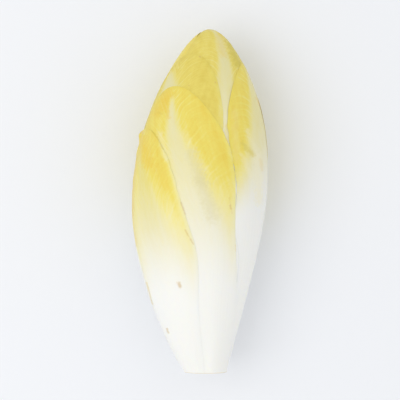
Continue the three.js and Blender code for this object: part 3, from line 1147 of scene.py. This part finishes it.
def new_material(name: str) -> tuple[Material, Bench, Sockets]:
    """Starts a material.

    Args:
        name: Its name.

    Returns:
        The material, a bench for its nodes and the inputs of its shader.
    """
    material = bpy.data.materials.new(name)
    material.use_nodes = True
    tree = material.node_tree
    return material, Bench(tree), tree.nodes["Principled BSDF"].inputs


@dataclass(frozen=True)
class Noise:
    """An uneven pattern: how its place is stretched, its scale and how many finer layers it has."""

    stretch: tuple[float, float, float]
    scale: float
    detail: float = 3.0

    def at(self, bench: Bench, place: Socket) -> Socket:
        """Returns the pattern at a place, from 0 to 1."""
        return bench.noise(bench.stretched(place, self.stretch), self.scale, self.detail)


@dataclass(frozen=True)
class Wax:
    """Soft waxy gloss and fine relief of the skin. Depths are in mm."""

    scatter: float = 0.12
    scatter_radius: tuple[float, float, float] = (1.0, 0.8, 0.4)
    scatter_depth: float = 0.5
    coat: float = 0.1
    coat_roughness: float = 0.35
    roughness: float = 0.4
    roughness_spread: float = 0.16
    relief_depth: float = 0.1
    relief_strength: float = 0.55

    def finish(self, bench: Bench, shader: Sockets, colour: Socket, grain: bpy.types.Node) -> None:
        """Finishes a shader.

        Args:
            bench: The material's nodes.
            shader: The shader's inputs.
            colour: Colour of the skin.
            grain: The grain group, placed and wired.
        """
        shader["Subsurface Weight"].default_value = self.scatter
        shader["Subsurface Radius"].default_value = self.scatter_radius
        shader["Subsurface Scale"].default_value = self.scatter_depth * MM
        shader["Coat Weight"].default_value = self.coat
        shader["Coat Roughness"].default_value = self.coat_roughness
        rough = bench.scaled(grain.outputs["Wax"], self.roughness_spread, self.roughness)
        depth = {"Distance": self.relief_depth * MM, "Strength": self.relief_strength}
        bump = bench.node("ShaderNodeBump", {"Height": grain.outputs["Height"], **depth})
        wires = {"Base Color": colour, "Roughness": rough, "Normal": bump.outputs["Normal"]}
        for name, socket in wires.items():
            bench.tree.links.new(socket, shader[name])


class SkinEffects:
    """The node groups that the materials of the head share.

    VEIN_LAYERS holds how many veins go to a number, their half-width in mm and their strength.
    PIGMENT_STOPS holds the amounts between which each colour takes over, and PIGMENT_NOISES the
    noises that make the yellow uneven, with their shares. GRAIN_NOISES are those of the fibres,
    the cells, the folds and the wax.
    """

    VEIN_LAYERS = ((1.0, 0.52, 1.0), (2.0, 0.34, 0.4))
    PIGMENT_STOPS = (("Cream", 0.0, 0.42), ("Straw", 0.42, 0.72), ("Yellow", 0.72, 1.0), ("Deep", 1.0, 1.3))
    PIGMENT_NOISES = (
        (Noise((1.0, 1.0, 1.0), 0.9, 2.0), 0.16),
        (Noise((1.0, 0.6, 0.0), 0.3), 0.3),
        (Noise((0.55, 0.05, 0.0), 1.0), 0.5),
    )
    EVEN = 0.38
    STREAK_SHARE = 0.3
    UNEVENNESS = (0.9, 0.15)
    VEIN_PALENESS = -0.3
    PATCHES = Noise((0.2, 1.0, 0.0), 0.13)
    GRAIN_NOISES = (
        Noise((1.0, 0.03, 0.0), 0.9),
        Noise((1.0, 0.7, 0.0), 1.8),
        Noise((1.0, 0.5, 0.0), 0.4, 2.0),
        Noise((1.0, 1.0, 1.0), 0.15),
    )
    CELL_HEIGHT = 0.35
    FOLD_HEIGHT = 0.8
    RIB_SMOOTHNESS = -0.7
    VEIN_HEIGHT = 0.5

    def __init__(self) -> None:
        """Builds each group once."""
        self.veins = self._veins()
        self.pigment = self._pigment()
        self.bruise = self._bruise()
        self.mark = self._mark()
        self.grain = self._grain()

    @staticmethod
    def _veins() -> Tree:
        """Builds the group of side veins of uneven strength with fainter ones between.

        Returns:
            The group, which puts out a mask of the veins and streaks along them.
        """
        outputs = {"Mask": "Float", "Streak": "Float"}
        group = new_group("side_veins", {"Veins": "Vector", "Place": "Vector"}, outputs)
        bench, given = opened(group)
        number, pitch, strength = bench.parts(given["Veins"])
        aside = bench.parts(given["Place"])[0]
        masks = []
        for pace, line, share in SkinEffects.VEIN_LAYERS:
            count = bench.scaled(number, pace, 0.37 * (pace - 1.0))
            middle = bench.math("ABSOLUTE", bench.math("SUBTRACT", bench.math("FRACT", count), 0.5))
            away = bench.times(middle, bench.math("DIVIDE", pitch, pace))
            whole = bench.joined(bench.math("FLOOR", count), pace, 0.0)
            drawn = bench.node("ShaderNodeTexWhiteNoise", {"Vector": whole}).outputs["Value"]
            along = bench.noise(bench.joined(bench.math("FLOOR", count), aside, 0.0), 0.45, 1.0)
            drawn = bench.times(bench.scaled(drawn, 0.6, 0.4), bench.scaled(along, 1.1, 0.3))
            mask = bench.times(bench.rise(away, line, 0.0), drawn)
            masks.append(bench.times(mask, share))
        both = bench.times(bench.math("MAXIMUM", *masks), strength)
        flow = bench.joined(bench.scaled(number, 1.7), bench.scaled(aside, 0.16), 0.0)
        bench.node("NodeGroupOutput", {"Mask": both, "Streak": bench.noise(flow, 1.0, 3.0)})
        return group

    @staticmethod
    def _pigment() -> Tree:
        """Builds the group that goes from white over cream to yellow and deep yellow by amount, darker
        towards the tip and most on the rib: partly the rib's greyish tone, partly painted shade.

        Returns:
            The group, which puts out a colour.
        """
        group = new_group("leaf_pigment", {
            "Place": "Vector", "Amount": "Float", "Rib": "Float", "Up": "Float", "Vein": "Float",
            "Streak": "Float", "White": "Color", "Cream": "Color", "Straw": "Color",
            "Yellow": "Color", "Deep": "Color",
        }, {"Color": "Color"})
        bench, given = opened(group)
        uneven = SkinEffects.EVEN
        for noise, share in SkinEffects.PIGMENT_NOISES:
            uneven = bench.scaled(noise.at(bench, given["Place"]), share, uneven)
        uneven = bench.scaled(given["Streak"], SkinEffects.STREAK_SHARE, uneven)
        spread, least = SkinEffects.UNEVENNESS
        amount = bench.times(given["Amount"], bench.scaled(uneven, spread, least))
        amount = bench.times(amount, bench.scaled(given["Vein"], SkinEffects.VEIN_PALENESS, 1.0))
        colour = given["White"]
        for name, low, high in SkinEffects.PIGMENT_STOPS:
            colour = bench.mix(bench.rise(amount, low, high, "LINEAR"), colour, given[name])
        # Darker towards the tip, most on the rib: partly the rib's own greyish tone, partly painted shade
        # where the upper head turns away from the light.
        rib_grey_and_shade = bench.scaled(given["Rib"], -0.06, -0.04)
        light = bench.scaled(rib_grey_and_shade, bench.rise(given["Up"], 0.3, 0.8), 1.0)
        bench.node("NodeGroupOutput", {"Color": bench.resized(colour, light)})
        return group

    @staticmethod
    def _bruise() -> Tree:
        """Builds the group of browned bits of a margin.

        Returns:
            The group, which puts out a mask.
        """
        inputs = {"Place": "Vector", "Reach": "Float", "Share": "Float"}
        group = new_group("margin_bruise", inputs, {"Mask": "Float"})
        bench, given = opened(group)
        margin = bench.parts(given["Place"])[2]
        patch = SkinEffects.PATCHES.at(bench, given["Place"])
        limit = bench.math("SUBTRACT", 1.0, given["Share"])
        chosen = bench.times(bench.math("SUBTRACT", patch, limit), 9.0)
        near = bench.math("SUBTRACT", 1.0, bench.math("DIVIDE", margin, given["Reach"]))
        both = bench.times(bench.rise(chosen, 0.0, 1.0), bench.rise(near, 0.0, 0.8))
        bench.node("NodeGroupOutput", {"Mask": both})
        return group

    @staticmethod
    def _mark() -> Tree:
        """Builds the group of one small soft-edged mark along a line, above some height.

        Returns:
            The group, which puts out a mask.
        """
        group = new_group("skin_mark", {
            "Point": "Vector", "Start": "Vector", "Span": "Vector", "Radius": "Float", "Low": "Float",
        }, {"Mask": "Float"})
        bench, given = opened(group)
        height = bench.parts(given["Point"])[2]
        seen = bench.stretched(given["Point"], (1.0, 1.0, 0.0))
        reached = bench.vector("SUBTRACT", seen, given["Start"])
        along = bench.vector("DOT_PRODUCT", reached, given["Span"], output="Value")
        size = bench.vector("DOT_PRODUCT", given["Span"], given["Span"], output="Value")
        share = bench.rise(bench.math("DIVIDE", along, size), 0.0, 1.0, "LINEAR")
        away = bench.vector("DISTANCE", reached, bench.resized(given["Span"], share), output="Value")
        edge = bench.scaled(bench.noise(given["Point"], 0.8, 3.0), 1.6, -0.8)
        part = bench.math("ADD", bench.math("DIVIDE", away, given["Radius"]), edge)
        high = bench.rise(bench.math("SUBTRACT", height, given["Low"]), 0.0, 3.0)
        bench.node("NodeGroupOutput", {"Mask": bench.times(bench.rise(part, 1.0, 0.0), high)})
        return group

    @staticmethod
    def _grain() -> Tree:
        """Builds the group of the fine relief: long fibres on the rib and small cells on the blade.

        Returns:
            The group, which puts out a height and how waxy the skin is.
        """
        inputs = {"Place": "Vector", "Rib": "Float", "Vein": "Float"}
        group = new_group("skin_grain", inputs, {"Height": "Float", "Wax": "Float"})
        bench, given = opened(group)
        fibre, cell, fold, wax = (noise.at(bench, given["Place"]) for noise in SkinEffects.GRAIN_NOISES)
        blade = bench.scaled(cell, SkinEffects.CELL_HEIGHT, bench.scaled(fold, SkinEffects.FOLD_HEIGHT))
        off_rib = bench.scaled(given["Rib"], SkinEffects.RIB_SMOOTHNESS, 1.0)
        height = bench.scaled(fibre, given["Rib"], bench.scaled(blade, off_rib))
        height = bench.scaled(given["Vein"], SkinEffects.VEIN_HEIGHT, height)
        bench.node("NodeGroupOutput", {"Height": height, "Wax": wax})
        return group


@dataclass(frozen=True)
class Mark:
    """A small mark above a height, along a line as seen from above, in mm."""

    start: Place
    stop: Place
    radius: float
    strength: float
    colour: Colour = srgb(206, 172, 100)
    low: float = 14.0


@dataclass(frozen=True)
class Bruise:
    """Browned bits of the margins: how far in they reach in mm, and how much of the margin they take."""

    reach: float = 0.5
    share: float = 0.36
    strength: float = 0.3


@dataclass(frozen=True)
class LeafFinish:
    """Waxy skin of a leaf, white at the foot and yellow at the margins and the tip."""

    name: str
    white: Colour = srgb(242, 242, 237)
    cream: Colour = srgb(238, 231, 184)
    straw: Colour = srgb(238, 227, 147)
    yellow: Colour = srgb(235, 218, 99)
    deep: Colour = srgb(232, 206, 78)
    brown: Colour = srgb(202, 160, 92)
    cut: Colour = srgb(226, 212, 184)
    bruise: Bruise = Bruise()
    marks: tuple[Mark, ...] = ()
    wax: Wax = Wax()

    BROWNED_UP = (0.3, 0.6)
    CUT_SPAN = (-69.3, -69.72)
    CUT_STRENGTH = 0.8

    def build(self, effects: SkinEffects) -> Material:
        """Builds the material.

        Args:
            effects: The node groups that it places.

        Returns:
            The material.
        """
        material, bench, shader = new_material(self.name)
        place, rib = bench.attribute("place", "Vector"), bench.attribute("rib")
        flow = {"Veins": bench.attribute("veins", "Vector"), "Place": place}
        veins = bench.group(effects.veins, flow).outputs
        skin = bench.group(effects.pigment, {
            "Place": place, "Amount": bench.attribute("yellow"), "Rib": rib, "Up": bench.attribute("up"),
            "Vein": veins["Mask"], "Streak": veins["Streak"], "White": self.white, "Cream": self.cream,
            "Straw": self.straw, "Yellow": self.yellow, "Deep": self.deep,
        })
        point = bench.node("ShaderNodeTexCoord", {}).outputs["Object"]
        colour = self._aged(bench, effects, skin.outputs["Color"], (place, point))
        grain = bench.group(effects.grain, {"Place": place, "Rib": rib, "Vein": veins["Mask"]})
        self.wax.finish(bench, shader, colour, grain)
        return material

    def _aged(
        self, bench: Bench, effects: SkinEffects, colour: Socket, places: tuple[Socket, Socket],
    ) -> Socket:
        """Adds browned margins, marks and the dry face of the cut.

        Args:
            bench: The material's nodes.
            effects: The node groups that it places.
            colour: Colour of the fresh skin.
            places: Place on the leaf, and place on the head in metres.

        Returns:
            The colour with them.
        """
        place, point = places
        inputs = {"Place": place, "Reach": self.bruise.reach, "Share": self.bruise.share}
        bruise = bench.group(effects.bruise, inputs).outputs["Mask"]
        browned = bench.times(bruise, bench.rise(bench.attribute("up"), *self.BROWNED_UP))
        colour = bench.mix(bench.times(browned, self.bruise.strength), colour, self.brown)
        seen = bench.stretched(point, IN_MM)
        for mark in self.marks:
            span = (mark.stop[0] - mark.start[0], mark.stop[1] - mark.start[1], 0.0)
            mask = bench.group(effects.mark, {
                "Point": seen, "Start": (*mark.start, 0.0), "Span": span, "Radius": mark.radius,
                "Low": mark.low,
            }).outputs["Mask"]
            colour = bench.mix(bench.times(mask, mark.strength), colour, mark.colour)
        start, full = (place * MM for place in self.CUT_SPAN)
        cut = bench.rise(bench.parts(point)[1], start, full)
        return bench.mix(bench.times(cut, self.CUT_STRENGTH), colour, self.cut)


@dataclass(frozen=True)
class CoreFinish:
    """Firm white flesh of the stem, a little dry and browned at the cut."""

    name: str
    flesh: Colour = srgb(240, 236, 222)
    dry: Colour = srgb(214, 190, 150)
    patch: Noise = Noise((1.0, 1.0, 1.0), 260.0, 4.0)
    ring: Noise = Noise((1.0, 0.05, 1.0), 340.0, 2.0)
    wax: Wax = Wax()

    def build(self, effects: SkinEffects) -> Material:
        """Builds the material with the shared grain, and rings round the middle of the cut.

        Args:
            effects: The node groups that it places.

        Returns:
            The material.
        """
        material, bench, shader = new_material(self.name)
        point = bench.node("ShaderNodeTexCoord", {}).outputs["Object"]
        away = bench.vector("LENGTH", bench.stretched(point, (1.0, 0.0, 1.0)), output="Value")
        patch, rings = self.patch.at(bench, point), self.ring.at(bench, point)
        share = bench.times(bench.math("ADD", patch, rings), 0.5)
        far = bench.rise(away, 0.0, 0.03)
        mask = bench.times(bench.rise(share, 0.32, 0.78), bench.math("ADD", far, 0.5))
        colour = bench.mix(mask, self.flesh, self.dry)
        grain = bench.group(effects.grain, {"Place": bench.stretched(point, IN_MM)})
        self.wax.finish(bench, shader, colour, grain)
        return material


@dataclass
class Studio:
    """Pale floor, soft light from the upper left, and the camera that looks straight down."""

    lens: float = 150.0
    sensor: float = 36.0
    frame_height: float = 163.0
    floor_size: float = 4.0
    floor_colour: Colour = srgb(237, 239, 243)
    floor_roughness: float = 0.9
    key_place: tuple[float, float, float] = (-0.42, -0.05, 0.72)
    key_size: float = 0.6
    key_power: float = 1.5
    fill_place: tuple[float, float, float] = (0.5, 0.3, 0.6)
    fill_size: float = 0.8
    fill_power: float = 0.2
    sky: float = 0.88

    def build(self, box: tuple[Vector, Vector]) -> None:
        """Adds the floor, the lights and the camera.

        Args:
            box: Lowest and highest corner of the object.
        """
        centre = (box[0] + box[1]) / 2.0
        self._floor()
        self._light("key", self.key_place, centre, self.key_size, self.key_power)
        self._light("fill", self.fill_place, centre, self.fill_size, self.fill_power)
        self._sky()
        self._camera(centre)

    def _floor(self) -> None:
        """Adds the floor that the head lies on."""
        bm = bmesh.new()
        bmesh.ops.create_grid(bm, x_segments=1, y_segments=1, size=self.floor_size / 2.0)
        mesh = bpy.data.meshes.new("floor")
        bm.to_mesh(mesh)
        bm.free()
        material, _, shader = new_material("floor_card")
        shader["Base Color"].default_value = self.floor_colour
        shader["Roughness"].default_value = self.floor_roughness
        mesh.materials.append(material)
        in_scene("floor", mesh)

    @staticmethod
    def _light(name: str, place: tuple[float, float, float], aim: Vector, size: float, power: float) -> None:
        """Adds a square soft light.

        Args:
            name: Its name.
            place: Where it stands.
            aim: The point that it shines at.
            size: Length of its side.
            power: Its power in watts.
        """
        data = bpy.data.lights.new(name, "AREA")
        data.size = size
        data.energy = power
        light = in_scene(name, data)
        light.location = place
        light.rotation_euler = (aim - Vector(place)).to_track_quat("-Z", "Y").to_euler()

    def _sky(self) -> None:
        """Sets an even white surround."""
        world = bpy.data.worlds.new("surround")
        world.use_nodes = True
        background = world.node_tree.nodes["Background"]
        background.inputs["Color"].default_value = (1.0, 1.0, 1.0, 1.0)
        background.inputs["Strength"].default_value = self.sky
        bpy.context.scene.world = world

    def _camera(self, centre: Vector) -> None:
        """Adds the camera straight above a point, with the head's tip at the top of the picture.

        Args:
            centre: The point.
        """
        data = bpy.data.cameras.new("camera")
        data.lens = self.lens
        data.sensor_width = self.sensor
        camera = in_scene("camera", data)
        away = self.frame_height * MM * self.lens / self.sensor
        camera.location = (centre.x, centre.y, centre.z + away)
        bpy.context.scene.camera = camera


LEAVES = [
    LeafShape(
        "leaf_01_left_outer", Slot.OUTER_LEAF, -31, -52, 61.5, 78, 3.0, 2.6,
        Side(44, 0.67, 1.04), Side(34, 0.46, 0.59, -0.082, 0.67, 0.14), twist_start=-0.38,
        pigment=Pigment(0.36, 0.56, 0.06, 20.0, -6.0, 0.86, 0.1, 0.4),
        crumples=(Crumple(-7.6, 108.6, 2.2, 1.1), Crumple(-11.5, 103.0, 2.5, 0.4))),
    LeafShape(
        "leaf_02_underside", Slot.OUTER_LEAF, 168, -54, 46, 70, 2.4, 2.6,
        Side(38, 0.68, 1.35), Side(56, 0.57, 1.35), twist_start=-0.4, step=0.7),
    LeafShape(
        "leaf_03_front", Slot.OUTER_LEAF, 10, -56, 46.3, 66, 3.3, 2.6,
        Side(43, 0.4, 0.97), Side(43, 1.16, 0.8, 0.335, 0.61, 0.226), twist_start=-0.24,
        twist_span=1.1, pigment=Pigment(0.31, 0.52, 0.02, 19.0, 0.0, 0.5, 0.1, 0.2)),
    LeafShape(
        "leaf_04_right", Slot.OUTER_LEAF, 88, -20, 35.4, 72, 4.4, 2.6,
        Side(42.8, 0.5, 1.0, -0.19, 0.79, 0.115), Side(60, 0.42, 1.32), slant=0.087,
        twist_start=-0.4, twist_span=1.0, pigment=Pigment(0.53, 0.28, 0.02, 45.0, 2.0, 0.54, 0.04)),
    LeafShape(
        "leaf_05_back_left", Slot.OUTER_LEAF, -118, -20, 43, 60, 2.0, 2.5,
        Side(44, 0.53, 1.07), Side(46, 0.68, 1.1), twist_start=-0.4, step=0.7),
    LeafShape(
        "leaf_06_upper_left", Slot.UPPER_LEAF, -38, -12, 31.2, 80, 3.3, 2.4,
        Side(44), Side(54.5), 134, 0.15, -0.1, 1.0,
        Pigment(0.4, 0.35, 0.03, 30.0, -6.5, 0.5, 0.1, 0.3)),
    LeafShape(
        "leaf_07_back_right", Slot.UPPER_LEAF, 146, -12, 34, 53, 2.0, 2.4,
        Side(46), Side(46), 132.5, step=0.7),
    LeafShape(
        "leaf_08_tip", Slot.UPPER_LEAF, 21, 12, 1, 45, 2.2, 2.3,
        Side(56), Side(52), 131, 0.0, 0.6, 0.45, Pigment(0.36, 0.3, 0.03, 11.0, 0.0, 0.52, 0.1)),
    LeafShape(
        "leaf_09_inner_left", Slot.INNER_LEAF, -98, -10, 9, 46, 2.0, 2.1,
        Side(50), Side(57), 128.5, step=0.8),
    LeafShape(
        "leaf_10_inner_right", Slot.INNER_LEAF, 92, -6, 9, 44, 1.8, 2.0,
        Side(52), Side(52), 126, step=1.4),
    LeafShape(
        "leaf_11_inner_front", Slot.INNER_LEAF, -22, -10, 20, 48, 1.8, 1.9,
        Side(53), Side(53), 123, step=1.4),
    LeafShape(
        "leaf_12_inner_back", Slot.INNER_LEAF, -172, -10, 6, 43, 1.8, 1.8,
        Side(54), Side(54), 120.5, step=1.4),
    LeafShape(
        "leaf_13_heart_front", Slot.INNER_LEAF, 52, -10, 26, 50, 1.8, 1.6,
        Side(56), Side(56), 117, step=1.4),
    LeafShape(
        "leaf_14_heart_back", Slot.INNER_LEAF, -130, -10, 24, 50, 1.8, 1.5,
        Side(56), Side(56), 114, step=1.4),
]

RIM = 22.5
TAN = srgb(226, 198, 112)
OLIVE = srgb(214, 197, 86)
PALE = srgb(238, 232, 196)
# Painted shade: the soft, slightly green-grey valley beside the front leaf's rib.
PAINTED_SHADE = srgb(217, 208, 156)
GOLD = srgb(229, 198, 66)

OUTER_MARKS = (
    Mark((-7.4, -0.8), (-5.9, -5.2), 0.6, 0.35),
    Mark((-5.9, -11.6), (-2.6, -17.2), 0.6, 0.4),
    Mark((11.6, 1.2), (12.7, -5.0), 0.5, 0.2),
    Mark((12.0, -2.0), (12.1, -2.9), 0.7, 0.35),
    Mark((14.2, -17.8), (14.5, -20.0), 0.6, 0.4, TAN),
    Mark((-8.5, -33.0), (-7.9, -34.0), 1.3, 0.55),
    Mark((-13.2, -51.8), (-12.9, -53.2), 0.8, 0.5, low=27.0),
    Mark((-13.6, -55.8), (-14.1, -58.6), 0.7, 0.3, low=25.0),
    Mark((22.8, 18.0), (23.6, 0.0), 3.2, 0.5, PALE, RIM),
    Mark((-21.5, -33.2), (-19.4, -41.8), 0.7, 0.5, TAN, RIM),
    Mark((-23.8, 28.6), (-23.3, 27.6), 1.2, 0.7, TAN, RIM),
    Mark((22.8, 41.6), (25.1, 36.6), 0.7, 0.7, TAN, RIM),
    Mark((24.3, 16.5), (24.9, 12.5), 1.2, 0.25, TAN, RIM),
    # The next three marks are painted reflection: the orange tint that a neighbouring head throws onto the
    # left contour.
    Mark((-25.9, 18.0), (-27.4, 6.0), 1.5, 0.55, TAN, RIM),
    Mark((-27.4, 6.0), (-27.6, -6.0), 1.5, 0.65, TAN, RIM),
    Mark((-27.6, -6.0), (-25.9, -18.0), 1.2, 0.4, TAN, RIM),
    Mark((-18.6, 41.6), (-14.8, 43.2), 0.9, 0.5, OLIVE),
    Mark((-16.8, 35.6), (-15.4, 34.6), 0.8, 0.5, OLIVE),
    Mark((17.0, 22.6), (21.0, 18.4), 1.8, 0.6, OLIVE),
    Mark((18.8, 28.0), (22.4, 20.2), 1.7, 0.3, PALE),
    Mark((16.5, 18.2), (20.4, 9.4), 1.8, 0.3, PALE),
    Mark((-17.0, 35.0), (-12.5, 43.0), 3.2, 0.45, srgb(228, 192, 50)),
    Mark((-23.5, 24.0), (-20.5, 15.0), 4.5, 0.65, GOLD),
    Mark((-17.0, 13.0), (-13.5, 5.0), 3.0, 0.3, GOLD),
    Mark((-13.6, 40.5), (-12.8, 33.5), 1.8, 0.5, GOLD),
    Mark((-15.8, 26.5), (-13.2, 17.0), 2.2, 0.35, PALE),
    Mark((-6.2, 26.5), (0.5, 13.0), 2.6, 0.2, PALE),
    Mark((14.0, 35.0), (14.4, 16.0), 2.4, 0.12, PALE),
    # Painted shade along the valley on the right side of the front leaf's rib.
    Mark((-3.5, 19.0), (0.5, 8.0), 3.8, 0.5, PAINTED_SHADE),
    Mark((0.5, 8.0), (5.0, -6.0), 4.4, 0.4, PAINTED_SHADE),
)

UPPER_MARKS = (
    Mark((-0.2, 57.8), (0.2, 57.6), 0.5, 0.7),
    Mark((6.0, 47.2), (6.2, 46.9), 0.5, 0.5),
    Mark((-4.5, 46.0), (-4.3, 45.7), 0.5, 0.4),
    Mark((12.2, 65.5), (15.3, 55.5), 3.4, 0.8, srgb(205, 188, 56)),
    Mark((8.0, 67.0), (9.4, 59.0), 2.8, 0.3, GOLD),
    Mark((10.4, 29.5), (11.3, 23.5), 1.3, 0.5, srgb(224, 206, 110)),
    Mark((-9.0, 57.4), (-3.5, 57.7), 1.1, 0.4, srgb(214, 194, 80)),
)


def main() -> None:
    """Builds the studio and the head."""
    logging.basicConfig(level=logging.INFO, format="%(name)s: %(message)s")
    scene = bpy.context.scene
    scene.view_settings.view_transform = "Standard"
    Studio().build(CAD_BOX)
    effects = SkinEffects()
    upper = {
        "cream": srgb(234, 228, 182), "straw": srgb(233, 222, 146),
        "yellow": srgb(230, 213, 102), "deep": srgb(220, 198, 80),
    }
    finishes = {
        Slot.OUTER_LEAF: LeafFinish("outer_leaf_skin", marks=OUTER_MARKS).build(effects),
        Slot.UPPER_LEAF: LeafFinish("upper_leaf_skin", marks=UPPER_MARKS, **upper).build(effects),
        Slot.INNER_LEAF: LeafFinish("inner_leaf_skin").build(effects),
        Slot.HEART: LeafFinish("heart_skin").build(effects),
        Slot.STEM: CoreFinish("stem_flesh").build(effects),
    }
    nest = Nest(HeadForm(), BladeSizes(), LEAVES)
    for index, leaf in enumerate(LEAVES):
        mount(LeafBlade(nest, index).build(), leaf.node, finishes[leaf.slot])
    heart = Heart()
    mount(heart.build(nest), heart.node, finishes[Slot.HEART])
    stem = Stem()
    mount(stem.build(nest), stem.node, finishes[Slot.STEM])
    bare_nodes = sorted(name for name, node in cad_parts.items() if not node.hide_render)
    LOG.info("CAD nodes still shown: %s", bare_nodes)
    bpy.context.view_layer.update()


if __name__ == "__main__":
    main()
